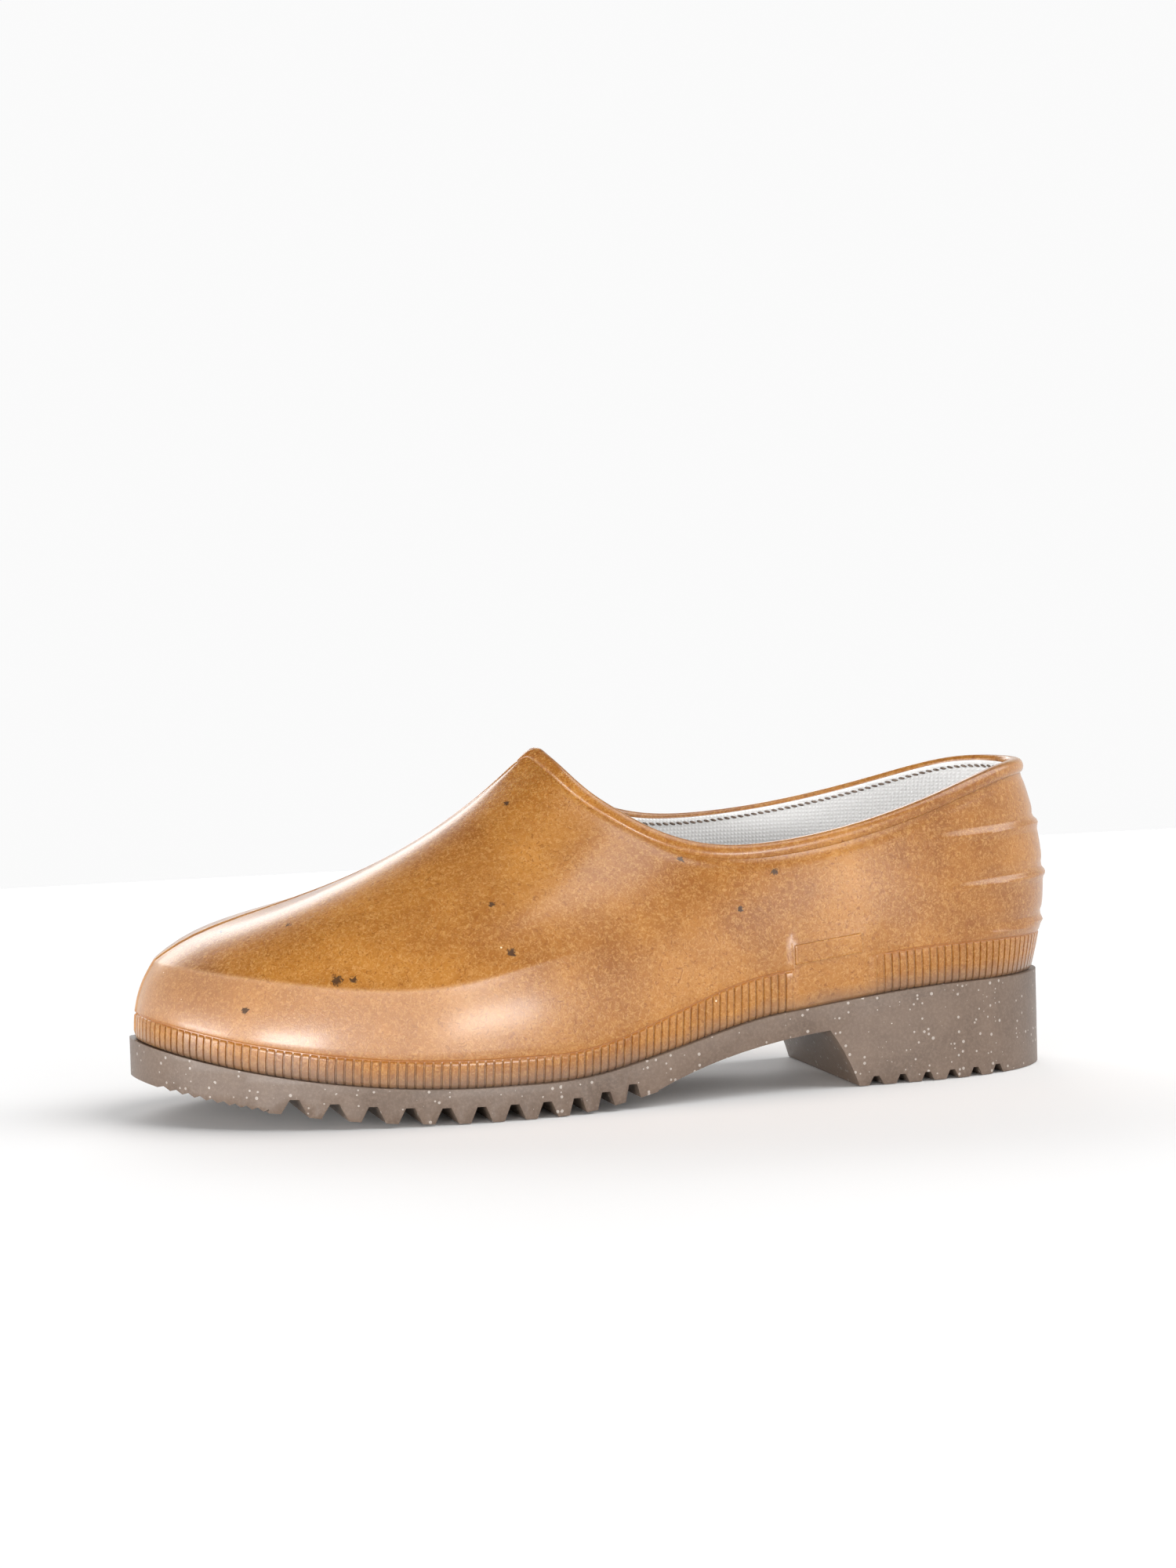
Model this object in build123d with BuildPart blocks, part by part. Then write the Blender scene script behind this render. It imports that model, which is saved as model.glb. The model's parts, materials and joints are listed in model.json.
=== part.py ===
"""Rubber garden clog for the left foot: injected shell and outsole around a knitted sock.

Millimetres. Toe towards -X, heel towards +X, outer side of the foot towards -Y, +Z up.
The origin is under the middle of the clog, on the ground.
"""
from build123d import *
from collections import namedtuple
import os

# Driving dimensions
LENGTH_HALF = 150         # half of the blocks that the profiles are cut from, a little over the clog
WIDTH_HALF = 60
BALL_X = -48.0            # where the forefoot touches the ground
TREAD_TOP = 10.0          # top of the outsole at the ball
TOE_SPRING = 14.0         # rise of the outsole's top 100 mm in front of the ball
RISES = [(12.0, -30.0, 45.0), (7.5, 10.0, 110.0)]   # rises behind the ball: height, start, end
TOE_T = 11.5              # thickness of the outsole at the toe
WALL = 2.8                # rubber of the shell
SHELL_INSET = 1.6         # the outsole's edge stands proud of the shell
FLANGE_WIDTH = 13.0       # turned-in foot of the shell, from the outsole's edge
FLANGE_T = 2.0
SEAT_GAP = 0.1            # glue line between bonded pieces
CLOTH_T = 1.2             # knitted sock
CLOTH_GAP = 0.25
CLOTH_EDGE = 3.0          # the sock ends this far below the rim
BOARD_T = 2.0
BOARD_GAP = 0.6           # between the board's edge and the sock, where the seam runs
TAPE_T, TAPE_W = 0.5, 5.0
TAPE_LEVELS = [0.25, 0.4, 0.55, 0.7, 0.85]
BED_GAP = 0.3             # the footbed lies loose on the board
BED_MARGIN = 2.4          # and this far inside the board's edge
FOAM_T = 5.0
COVER_T = 0.8
THREAD_W = 0.9            # loops of stitching, modelled as a square cord
THREAD_CORNERS = [(-0.45, -0.45), (0.45, -0.45), (0.45, 0.45), (-0.45, 0.45)]
SEAM_INSET = 1.2          # seam of sock and board, from the board's edge
STITCH_DROP = 5.5         # overlock line below the rim

# Tread
LUG_TIPS = [-111, -100, -89, -78.5, -68, -57.5, -47.5, -37.5, -27.5, -18.5, -9.5, -1]
LUG_DEPTH, LUG_TIP, LUG_ROOF = 4.7, 3.4, 2.6
SERRATION_START, SERRATION_PITCH, SERRATION_DEPTH = -141.0, 3.0, 0.9
HEEL_TIPS = [71.5, 80.5, 89, 97.5, 106, 114.5, 123]
HEEL_DEPTH, HEEL_TIP, HEEL_ROOF = 2.7, 4.0, 1.8
TREAD_FOLLOW = 0.9        # behind the ball the lug tips rise a little less than the top
WAIST_START, WAIST_END = 3.0, 61.0
WAIST_T = 9.0             # outsole under the arch, at its outer edge
HEEL_BREAST_X = 70.0      # where the heel's front face meets the ground
HEEL_BACK_SLOPE = 2.6     # the heel's back leans in by this much at the ground
ARCH_TILT = 3.5           # the arch is lower on the inner side of the foot, degrees
CELL_L, CELL_W, CELL_DEPTH = 13.0, 15.0, 15.0   # weight-saving cells in the heel
CELL_PITCH_X, CELL_PITCH_Y = 17.0, 19.0
CELL_CENTRE = (106, 1)
BEAD = [(5.5, 0), (4, -0.8), (2, -1.2), (0.4, -0.5)]   # collar: distance below the rim, depth

# Twenty stations round the clog, from the toe along the outer side to the heel and back. Each has
# a point of the outsole's edge, one of the collar, how far the wall leans out and how high it
# rises before it turns in, and the pull of the wall where it arrives at the collar.
Station = namedtuple("Station", "x y collar_x collar_y collar_z lean rise pull_x pull_y pull_z")
STATIONS = [Station(*row) for row in (
    (-146, 9, -17.8, 7.5, 107.3, 1.5, 50.5, -65, 5, -65.5),
    (-139.5, -13, -15.5, 3, 104.6, 2.5, 41.5, -69.5, -2.5, -51.5),
    (-119, -33.5, -12, -4.5, 100, 3, 40.5, -56.5, -13, -40),
    (-87, -47, -6, -11.5, 93, 2.5, 40, -43, -22, -35),
    (-49, -52, 3, -18.5, 86, 2.5, 38, -30, -23, -28),
    (-9, -48, 15, -25.5, 79.5, 2, 28, -14, -15, -22),
    (31, -40.5, 35, -31, 76, 1.5, 19, -3, -7, -18),
    (69, -35.5, 67, -31.5, 79.5, 2, 18, -0.5, -4, -18),
    (105, -32.5, 99, -28.5, 88, 3.5, 21, 1.5, -4, -20),
    (132, -20, 125, -17.5, 95.5, 6, 26, 6, -4, -24),
    (143, 1.5, 138.5, 1.5, 97, 8, 28, 9, 0, -26),
    (132, 22.5, 126, 20.5, 97, 6, 25, 6, 4, -23),
    (105, 34, 100, 30, 91, 3.5, 21, 1.5, 4, -20),
    (69, 35, 67, 32.5, 84.5, 1.5, 19, -0.5, 3, -18),
    (31, 37, 35, 32.5, 82, 0, 20, -3, 5, -20),
    (-9, 43.5, 15, 30, 84.5, 0, 30, -13, 12, -26),
    (-49, 51, 3, 25, 89.5, 1, 40, -28, 19, -35),
    (-87, 51.2, -6, 19.5, 95, 1.5, 42.5, -41.5, 21, -44),
    (-119, 44, -12, 14.5, 100, 2.5, 42, -55, 22.5, -54.5),
    (-138.5, 29, -15.5, 11, 104.6, -1, 55.5, -64, 15.5, -65),
)]
COUNT = len(STATIONS)
HEEL = COUNT // 2         # the station at the back of the heel
WALL_LEVELS = [0, 0.12, 0.25, 0.4, 0.55, 0.7, 0.82]
WALL_TAIL = 4.0           # the wall starts this far below the outsole's top, then is trimmed


def sole_top(x):
    """Height of the outsole's top: toe spring, low at the ball, up a slope to a level heel."""
    height = TREAD_TOP + TOE_SPRING * min((x - BALL_X) / 100, 0) ** 2
    for rise, start, end in RISES:
        t = min(max((x - start) / (end - start), 0), 1)
        height += rise * t * t * (3 - 2 * t)
    return height


def tread_line(x):
    """Height of the lug tips from the toe to the front of the arch."""
    if x < BALL_X:
        return (sole_top(-LENGTH_HALF) - TOE_T) * ((x - BALL_X) / (BALL_X + LENGTH_HALF)) ** 2
    return (sole_top(x) - TREAD_TOP) * TREAD_FOLLOW


def side_line(rise):
    """Points along the outsole's top line, raised by rise."""
    return [(x, sole_top(x) + rise) for x in range(-150, 151, 10)]


def bezier(a, b, c, d, t):
    return a * (1 - t) ** 3 + b * 3 * t * (1 - t) ** 2 + c * 3 * t * t * (1 - t) + d * t ** 3


def outward(k):
    """Level direction away from the clog, square to its outline at station k."""
    before, after = STATIONS[(k - 1) % COUNT], STATIONS[(k + 1) % COUNT]
    return Vector(after.y - before.y, before.x - after.x, 0).normalized()


def wall_point(k, level):
    """Point of the shell's outer face at station k, from the outsole (0) to the collar (1)."""
    s = STATIONS[k % COUNT]
    foot = Vector(s.x, s.y, 0) - outward(k) * SHELL_INSET
    foot = Vector(foot.X, foot.Y, sole_top(foot.X))
    shoulder = foot + outward(k) * s.lean + Vector(0, 0, s.rise)
    collar = Vector(s.collar_x, s.collar_y, s.collar_z)
    return bezier(foot, shoulder, collar + Vector(s.pull_x, s.pull_y, s.pull_z), collar, level)


def inner_point(k, level, depth):
    """The same point, moved into the clog by depth, square to the wall."""
    up = wall_point(k, min(level + 0.02, 1)) - wall_point(k, level - 0.02)
    along = wall_point(k + 1, level) - wall_point(k - 1, level)
    return wall_point(k, level) - along.cross(up).normalized() * depth


def level_below_rim(k, distance):
    """Level of the wall that lies this far below the collar's rim at station k."""
    s = STATIONS[k % COUNT]
    return 1 - distance / (3 * Vector(s.pull_x, s.pull_y, s.pull_z).length)


def ring(points):
    """Closed wire through the stations' points, as two edges that meet at toe and heel."""
    loop = Edge.make_spline(points, periodic=True)
    return Wire([loop.trim(0, 0.5), loop.trim(0.5, 1)])


def wall_ring(level, depth, drop=0.0):
    """Closed curve round the clog at one level of the wall."""
    return ring([inner_point(k, level, depth) - Vector(0, 0, drop) for k in range(COUNT)])


def rim_ring(distance, depth):
    """Closed curve at one distance below the rim."""
    return ring([inner_point(k, level_below_rim(k, distance), depth) for k in range(COUNT)])


def hollow_wall(outer, inner):
    """Solid between an outer and an inner stack of rings, open at the collar and the foot."""
    pieces = [
        Shell.make_loft(outer),
        Shell.make_loft([outer[-1], inner[-1]], ruled=True),
        Shell.make_loft(inner),
        Shell.make_loft([outer[0], inner[0]], ruled=True),
    ]
    return Solid(Shell([face for piece in pieces for face in piece.faces()]))


def thread_loop(corners):
    """Square-section loop of stitching through four rings."""
    sides = [Shell.make_loft([a, b], ruled=True) for a, b in zip(corners, corners[1:] + corners[:1])]
    return Solid(Shell([face for side in sides for face in side.faces()]))


def wall_stack(depth, top):
    """Rings of one face of the wall, from under the outsole's top to the rings given as top."""
    return [wall_ring(0, depth, WALL_TAIL)] + [wall_ring(v, depth) for v in WALL_LEVELS] + top


def edge_points(inset):
    """Points of the outsole's outline on the ground, moved in by inset."""
    return [Vector(s.x, s.y) - outward(k) * inset for k, s in enumerate(STATIONS)]


def outline(inset):
    """Plan of the outsole, moved in by inset."""
    return Face(ring(edge_points(inset)))


def slab(inset, low, high):
    """Layer that follows the outsole's top between two heights, inset from its outline."""
    with BuildPart() as layer:
        extrude(outline(inset), amount=LENGTH_HALF, clean=False)
        with BuildSketch(Plane.XZ):
            with BuildLine():
                lower = Spline(side_line(low))
                upper = Spline(side_line(high))
                Line(lower @ 0, upper @ 0)
                Line(lower @ 1, upper @ 1)
            make_face()
        extrude(amount=WIDTH_HALF, both=True, mode=Mode.INTERSECT)
    return layer.part


def seat_block(rise):
    """Everything below the outsole's top line raised by rise, to trim a wall with."""
    with BuildPart() as block:
        with BuildSketch(Plane.XZ):
            with BuildLine():
                top = Spline(side_line(rise))
                Polyline(top @ 0, (-LENGTH_HALF, -WIDTH_HALF), (LENGTH_HALF, -WIDTH_HALF), top @ 1)
            make_face()
        extrude(amount=WIDTH_HALF, both=True)
    return block.part


def notches(tips, tip, roof, depth, ground):
    """Corners of the notches between lug tips, along the tread line."""
    corners = []
    for front, back in zip(tips, tips[1:]):
        middle = (front + back) / 2
        corners += [
            (front + tip / 2, ground(front + tip / 2)),
            (middle - roof / 2, ground(middle) + depth),
            (middle + roof / 2, ground(middle) + depth),
            (back - tip / 2, ground(back - tip / 2)),
        ]
    return corners


# Outsole: the outline cut to its side profile, with lugs, serrated toe, arch and heel cells
serrations = []
for i in range(int((LUG_TIPS[0] - SERRATION_START) / SERRATION_PITCH)):
    x = SERRATION_START + i * SERRATION_PITCH
    middle = x + SERRATION_PITCH / 2
    serrations += [(x, tread_line(x)), (middle, tread_line(middle) + SERRATION_DEPTH)]
forefoot = notches(LUG_TIPS, LUG_TIP, LUG_ROOF, LUG_DEPTH, tread_line)
heel = notches(HEEL_TIPS, HEEL_TIP, HEEL_ROOF, HEEL_DEPTH, lambda x: 0)
heel_back = STATIONS[HEEL].x
arch_edge = Plane.XZ.offset(-STATIONS[HEEL // 2 - 1].y)

with BuildPart() as outsole:
    extrude(outline(0), amount=LENGTH_HALF, clean=False)
    with BuildSketch(Plane.XZ):
        with BuildLine():
            top = Spline(side_line(0))
            Polyline(
                top @ 0,
                (-LENGTH_HALF, tread_line(-LENGTH_HALF)),
                *serrations,
                (LUG_TIPS[0] - LUG_TIP / 2, tread_line(LUG_TIPS[0])),
                *forefoot,
                (WAIST_START, tread_line(WAIST_START)),
                (HEEL_BREAST_X - HEEL_TIP, 0),
                *heel,
                (heel_back - HEEL_BACK_SLOPE, 0),
                (heel_back + 0.5, sole_top(heel_back) - 1),
                (LENGTH_HALF, sole_top(LENGTH_HALF) - 1),
                top @ 1,
            )
        make_face()
    extrude(amount=WIDTH_HALF, both=True, mode=Mode.INTERSECT)
    with BuildSketch(arch_edge.rotated((ARCH_TILT, 0, 0))):
        with BuildLine():
            vault = Spline(
                (WAIST_START, tread_line(WAIST_START)),
                (16, sole_top(16) - WAIST_T),
                (38, sole_top(38) - WAIST_T),
                (WAIST_END, sole_top(WAIST_END) - WAIST_T),
            )
            breast = Spline(vault @ 1, (66.5, 8), (HEEL_BREAST_X, 0), (HEEL_BREAST_X + 4, -20))
            Polyline(breast @ 1, (WAIST_START - 4, -20), vault @ 0)
        make_face()
    extrude(amount=2 * WIDTH_HALF, both=True, mode=Mode.SUBTRACT)
    add(slab(FLANGE_WIDTH + SEAT_GAP, -1, FLANGE_T + SEAT_GAP))
    with BuildSketch(Plane.XY.offset(LENGTH_HALF)):
        with Locations(CELL_CENTRE):
            with GridLocations(CELL_PITCH_X, CELL_PITCH_Y, 3, 2):
                RectangleRounded(CELL_L, CELL_W, 2)
    extrude(amount=sole_top(CELL_CENTRE[0]) - CELL_DEPTH - LENGTH_HALF, mode=Mode.SUBTRACT)
outsole.part.label = "outsole"

# Upper shell: one injected wall with a rounded bead at the collar and a turned-in foot
shell_wall = hollow_wall(
    wall_stack(0, [rim_ring(distance, depth) for distance, depth in BEAD]),
    wall_stack(WALL, [rim_ring(distance, WALL) for distance, depth in BEAD]),
)
shell_foot = slab(SHELL_INSET + 1, SEAT_GAP, SEAT_GAP + FLANGE_T) - slab(FLANGE_WIDTH, 0, FLANGE_T + 1)
below_shell = seat_block(SEAT_GAP)

with BuildPart() as upper_shell:
    add(shell_wall)
    add(below_shell, mode=Mode.SUBTRACT)
    add(shell_foot)
upper_shell.part.label = "upper_shell"

# Sock: knitted lining, a board stitched into its foot, and the stitching that closes it
cloth_out = WALL + CLOTH_GAP
cloth_in = cloth_out + CLOTH_T
board_low = 2 * SEAT_GAP + FLANGE_T
board_high = board_low + BOARD_T
lining_wall = hollow_wall(
    wall_stack(cloth_out, [rim_ring(7, cloth_out), rim_ring(CLOTH_EDGE, cloth_out)]),
    wall_stack(cloth_in, [rim_ring(7, cloth_in), rim_ring(CLOTH_EDGE, cloth_in)]),
)
below_lining = seat_block(board_low)

with BuildPart() as lining_sock:
    add(lining_wall)
    add(below_lining, mode=Mode.SUBTRACT)
lining_sock.part.label = "lining_sock"

board_inset = SHELL_INSET + cloth_in + BOARD_GAP
with BuildPart() as insole_board:
    add(slab(board_inset, board_low, board_high))
insole_board.part.label = "insole_board"

seam_corners = []
for across, up in THREAD_CORNERS:
    inset, rise = board_inset + SEAM_INSET + across, board_high + THREAD_W / 2 + 2 * SEAT_GAP + up
    seam_corners.append([Vector(p.X, p.Y, sole_top(p.X) + rise) for p in edge_points(inset)])
stitch_depth = cloth_in + THREAD_W / 2 + 0.2
with BuildPart() as strobel_stitching:
    add(thread_loop([ring(points) for points in seam_corners]))
strobel_stitching.part.label = "strobel_stitching"

with BuildPart() as collar_stitching:
    add(thread_loop([rim_ring(STITCH_DROP + a, stitch_depth + b) for a, b in THREAD_CORNERS]))
collar_stitching.part.label = "collar_stitching"

tape_out = cloth_in + 2 * CLOTH_GAP
with BuildPart() as lining_back_seam:
    with BuildSketch(Plane.XZ.offset(-STATIONS[HEEL].y)):
        with BuildLine():
            faces = []
            for depth in (tape_out, tape_out + TAPE_T):
                points = [inner_point(HEEL, level, depth) for level in TAPE_LEVELS]
                faces.append(Spline([(p.X, p.Z) for p in points]))
            Line(faces[0] @ 0, faces[1] @ 0)
            Line(faces[0] @ 1, faces[1] @ 1)
        make_face()
    extrude(amount=TAPE_W / 2, both=True)
lining_back_seam.part.label = "lining_back_seam"

# Footbed: a loose foam insole with a cloth cover
bed_inset = board_inset + BED_MARGIN
bed_low = board_high + BED_GAP
bed_high = bed_low + FOAM_T
with BuildPart() as footbed:
    add(slab(bed_inset, bed_low, bed_high))
footbed.part.label = "footbed"

with BuildPart() as footbed_cover:
    add(slab(bed_inset, bed_high + SEAT_GAP, bed_high + SEAT_GAP + COVER_T))
footbed_cover.part.label = "footbed_cover"

os.makedirs("parts", exist_ok=True)
for piece in (
    outsole, upper_shell, lining_sock, insole_board, strobel_stitching,
    collar_stitching, lining_back_seam, footbed, footbed_cover,
):
    export_step(piece.part, f"parts/{piece.part.label}.step")
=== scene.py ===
# %% [markdown]
# # A rubber garden clog
# This lesson builds the looks of one left garden clog around a finished CAD frame. The real clog is
# injected in two shots: a translucent amber shell around a knitted sock, then a grey-brown outsole.
# Lengths in the tables are millimetres and become metres with MM.

# %% Frame
import json
import math

import bpy
import numpy as np
from mathutils import Matrix, Vector

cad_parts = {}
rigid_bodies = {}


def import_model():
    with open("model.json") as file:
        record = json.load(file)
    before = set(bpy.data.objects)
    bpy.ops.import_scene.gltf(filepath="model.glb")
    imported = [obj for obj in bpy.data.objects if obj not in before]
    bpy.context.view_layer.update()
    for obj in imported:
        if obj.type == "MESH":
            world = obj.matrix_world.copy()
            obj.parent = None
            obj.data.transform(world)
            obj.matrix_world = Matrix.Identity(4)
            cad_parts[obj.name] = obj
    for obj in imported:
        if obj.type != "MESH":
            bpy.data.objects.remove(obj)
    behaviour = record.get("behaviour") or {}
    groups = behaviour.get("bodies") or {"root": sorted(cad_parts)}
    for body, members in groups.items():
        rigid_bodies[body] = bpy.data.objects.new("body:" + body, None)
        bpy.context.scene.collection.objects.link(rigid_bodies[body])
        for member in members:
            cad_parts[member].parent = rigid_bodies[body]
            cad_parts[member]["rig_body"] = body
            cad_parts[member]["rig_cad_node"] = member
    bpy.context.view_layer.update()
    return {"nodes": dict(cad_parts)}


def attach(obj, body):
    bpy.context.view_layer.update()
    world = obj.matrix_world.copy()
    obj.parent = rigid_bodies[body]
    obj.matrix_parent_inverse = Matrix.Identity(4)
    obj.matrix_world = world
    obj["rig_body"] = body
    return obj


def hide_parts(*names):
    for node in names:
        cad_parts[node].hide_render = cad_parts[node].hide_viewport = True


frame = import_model()
MM = 0.001

# %% [markdown]
# ## Small helpers
# An operator acts on everything that is selected, and the frame's nodes arrive selected. So each
# step starts by clearing the selection and choosing one piece.


# %% Selection
def clear_selection():
    """Leave edit mode and select nothing."""
    if bpy.context.object and bpy.context.object.mode != "OBJECT":
        bpy.ops.object.mode_set(mode="OBJECT")
    bpy.ops.object.select_all(action="DESELECT")


def choose(piece):
    """Make one piece the only selected and active one."""
    clear_selection()
    piece.select_set(True)
    bpy.context.view_layer.objects.active = piece


def name_piece(name):
    """Name the piece that an operator has just added."""
    piece = bpy.context.object
    piece.name = piece.data.name = name
    return piece


def finish_piece(piece, material, node, angle):
    """Smooth shading, its material, and its place in the frame."""
    choose(piece)
    bpy.ops.object.shade_smooth_by_angle(angle=math.radians(angle))
    piece.data.materials.clear()
    piece.data.materials.append(material)
    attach(piece, "root")
    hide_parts(node)
    print(piece.name, len(piece.data.polygons), "faces")


# %% [markdown]
# ## Camera and stage
# The camera comes first, because every later choice is judged through it. It stands low in front of
# the clog's outer side with a long lens, and is rolled very slightly.

# %% Camera
CAMERA_PLACE = Vector((-267.2, -958.0, 151.5)) * MM
CAMERA_AZIMUTH, CAMERA_ELEVATION, CAMERA_ROLL = -15.4, 3.3, -1.7
LENS = 74.0

azimuth, elevation, roll = map(math.radians, (CAMERA_AZIMUTH, CAMERA_ELEVATION, CAMERA_ROLL))
back = Vector((
    math.sin(azimuth) * math.cos(elevation),
    -math.cos(azimuth) * math.cos(elevation),
    math.sin(elevation),
))
level_right = Vector((math.cos(azimuth), math.sin(azimuth), 0))
level_up = back.cross(level_right)
right = math.cos(roll) * level_right + math.sin(roll) * level_up
up = back.cross(right)
bpy.ops.object.camera_add(location=CAMERA_PLACE)
camera = bpy.context.object
camera.data.lens = LENS
camera.rotation_euler = Matrix((right, up, back)).transposed().to_euler()
bpy.context.scene.camera = camera
print("camera", round(CAMERA_PLACE.length, 3), "m from the clog")

# %% [markdown]
# The floor is a plain pale sheet just under the lugs. It ends behind the clog, where the pale air
# takes over, so that no dark horizon shows.

# %% Floor
FLOOR_SIZE = 2.4
clear_selection()
bpy.ops.mesh.primitive_plane_add(size=FLOOR_SIZE, location=(0, -0.35, -0.0002))
floor = name_piece("floor")

floor_paint = bpy.data.materials.new("pale_floor")
floor_paint.use_nodes = True
floor_shader = floor_paint.node_tree.nodes["Principled BSDF"]
floor_shader.inputs["Base Color"].default_value = (0.88, 0.88, 0.88, 1)
floor_shader.inputs["Roughness"].default_value = 0.7
floor_shader.inputs["Specular IOR Level"].default_value = 0.2
floor.data.materials.append(floor_paint)
print("floor", FLOOR_SIZE, "m wide")

# %% [markdown]
# ## Light
# Rubber shows its form by its highlights. Three low softboxes draw them on the toe, on the ball and
# along the side wall. A large one high over the heel lights the vamp, and one behind the clog
# brightens the far floor.


# %% Softboxes
def softbox(name, place, target, width, height, watts):
    """Rectangular lamp that faces its target; metres and watts."""
    bpy.ops.object.light_add(type="AREA", location=place)
    lamp = bpy.context.object
    lamp.name = name
    lamp.data.shape = "RECTANGLE"
    lamp.data.size, lamp.data.size_y = width, height
    lamp.data.energy = watts
    lamp.rotation_euler = (Vector(target) - Vector(place)).to_track_quat("-Z", "Y").to_euler()
    print(name, watts, "W")


softbox("left_softbox", (-1.08, -1.25, 0.17), (-0.11, -0.04, 0.03), 0.62, 0.24, 13)
softbox("right_softbox", (0.30, -1.60, 0.17), (0, -0.05, 0.03), 0.62, 0.26, 9)
softbox("toe_softbox", (-1.4, -0.25, 0.14), (-0.12, 0, 0.04), 0.7, 0.3, 8)
softbox("top_softbox", (1.1, -0.3, 1.5), (0, 0, 0.04), 1.8, 1.8, 34)
softbox("back_softbox", (-0.2, 1.5, 0.9), (0, 0.6, 0), 1.8, 0.5, 13)

# %% [markdown]
# The world is bright near the horizon and darker overhead, like a studio with pale walls. So upright
# faces of the rubber look milky and the vamp, which faces up, keeps its deep amber. The Standard
# view shows colours as they are mixed, where the usual view would wash the amber out.

# %% World
world = bpy.data.worlds.new("studio_air")
bpy.context.scene.world = world
world.use_nodes = True
air = world.node_tree
direction = air.nodes.new("ShaderNodeTexCoord")
parts = air.nodes.new("ShaderNodeSeparateXYZ")
air.links.new(direction.outputs["Generated"], parts.inputs["Vector"])
fade = air.nodes.new("ShaderNodeValToRGB")
air.links.new(parts.outputs["Z"], fade.inputs["Fac"])
horizon, overhead = fade.color_ramp.elements
horizon.position, horizon.color = 0.22, (1, 1, 1, 1)
overhead.position, overhead.color = 0.55, (0.16, 0.16, 0.16, 1)
air.links.new(fade.outputs["Color"], air.nodes["Background"].inputs["Color"])
air.nodes["Background"].inputs["Strength"].default_value = 0.96
bpy.context.scene.view_settings.view_transform = "Standard"
print("world", world.name)

# %% [markdown]
# ## The last: one surface that everything follows
# The shell is a closed ring of wall curves. Twenty stations go round the clog from the toe along the
# outer side to the heel and back, and each has a point on the outsole's edge, one on the collar,
# and how its wall leans, rises and is pulled in. A periodic spline blends the stations, so any point
# is found from its place round the clog (0 to 20) and its height on the wall (0 to 1).

# %% Stations
# outsole edge x, y; collar x, y, z; lean, rise; pull at the collar x, y, z
STATIONS = np.array([
    (-146, 9, -17.8, 7.5, 107.3, 1.5, 50.5, -65, 5, -65.5),
    (-139.5, -13, -15.5, 3, 104.6, 2.5, 41.5, -69.5, -2.5, -51.5),
    (-119, -33.5, -12, -4.5, 100, 3, 40.5, -56.5, -13, -40),
    (-87, -47, -6, -11.5, 93, 2.5, 40, -43, -22, -35),
    (-49, -52, 3, -18.5, 86, 2.5, 38, -30, -23, -28),
    (-9, -48, 15, -25.5, 79.5, 2, 28, -14, -15, -22),
    (31, -40.5, 35, -31, 76, 1.5, 19, -3, -7, -18),
    (69, -35.5, 67, -31.5, 79.5, 2, 18, -0.5, -4, -18),
    (105, -32.5, 99, -28.5, 88, 3.5, 21, 1.5, -4, -20),
    (132, -20, 125, -17.5, 95.5, 6, 26, 6, -4, -24),
    (143, 1.5, 138.5, 1.5, 97, 8, 28, 9, 0, -26),
    (132, 22.5, 126, 20.5, 97, 6, 25, 6, 4, -23),
    (105, 34, 100, 30, 91, 3.5, 21, 1.5, 4, -20),
    (69, 35, 67, 32.5, 84.5, 1.5, 19, -0.5, 3, -18),
    (31, 37, 35, 32.5, 82, 0, 20, -3, 5, -20),
    (-9, 43.5, 15, 30, 84.5, 0, 30, -13, 12, -26),
    (-49, 51, 3, 25, 89.5, 1, 40, -28, 19, -35),
    (-87, 51.2, -6, 19.5, 95, 1.5, 42.5, -41.5, 21, -44),
    (-119, 44, -12, 14.5, 100, 2.5, 42, -55, 22.5, -54.5),
    (-138.5, 29, -15.5, 11, 104.6, -1, 55.5, -64, 15.5, -65),
])
COUNT = len(STATIONS)
HEEL = COUNT / 2
print(COUNT, "stations")

# %% [markdown]
# The spline needs the bend at each station, which is found from one small set of equations. The
# outsole's top has the toe spring in front of the ball and two soft rises behind it.

# %% Spline

ring_matrix = 4 * np.eye(COUNT) + np.roll(np.eye(COUNT), 1, 0) + np.roll(np.eye(COUNT), -1, 0)
second = np.roll(STATIONS, 1, 0) - 2 * STATIONS + np.roll(STATIONS, -1, 0)
BEND = np.linalg.solve(ring_matrix, 6 * second)


def station(u):
    """The stations' values at places u round the clog, by a periodic cubic spline."""
    u = np.asarray(u, float) % COUNT
    low = np.floor(u).astype(int) % COUNT
    high = (low + 1) % COUNT
    t = (u - np.floor(u))[..., None]
    s = 1 - t
    straight = s * STATIONS[low] + t * STATIONS[high]
    return straight + (s**3 - s) / 6 * BEND[low] + (t**3 - t) / 6 * BEND[high]


# %% Top of the outsole
def ease(value, start, end):
    """0 before start, 1 after end, smooth between."""
    t = np.clip((value - start) / (end - start), 0, 1)
    return t * t * (3 - 2 * t)


BALL_X, TREAD_TOP, TOE_SPRING = -48, 10, 14
RISES = [(12, -30, 45), (7.5, 10, 110)]   # height, start, end


def sole_top(x):
    """Height of the outsole's top: toe spring, low at the ball, up a slope to a level heel."""
    spring = TOE_SPRING * np.minimum((x - BALL_X) / 100, 0) ** 2
    return TREAD_TOP + spring + sum(height * ease(x, start, end) for height, start, end in RISES)


def outward(u):
    """Direction away from the clog at places u, seen from above."""
    step = station(np.asarray(u) + 0.001) - station(np.asarray(u) - 0.001)
    across = np.stack([step[..., 1], -step[..., 0]], -1)
    return across / np.linalg.norm(across, axis=-1, keepdims=True)


def edge_point(u, inset, rise):
    """Point over the outsole's top, moved in from its edge."""
    spot = station(u)[..., :2] - outward(u) * inset
    return np.concatenate([spot, sole_top(spot[..., :1]) + rise], -1)


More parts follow.
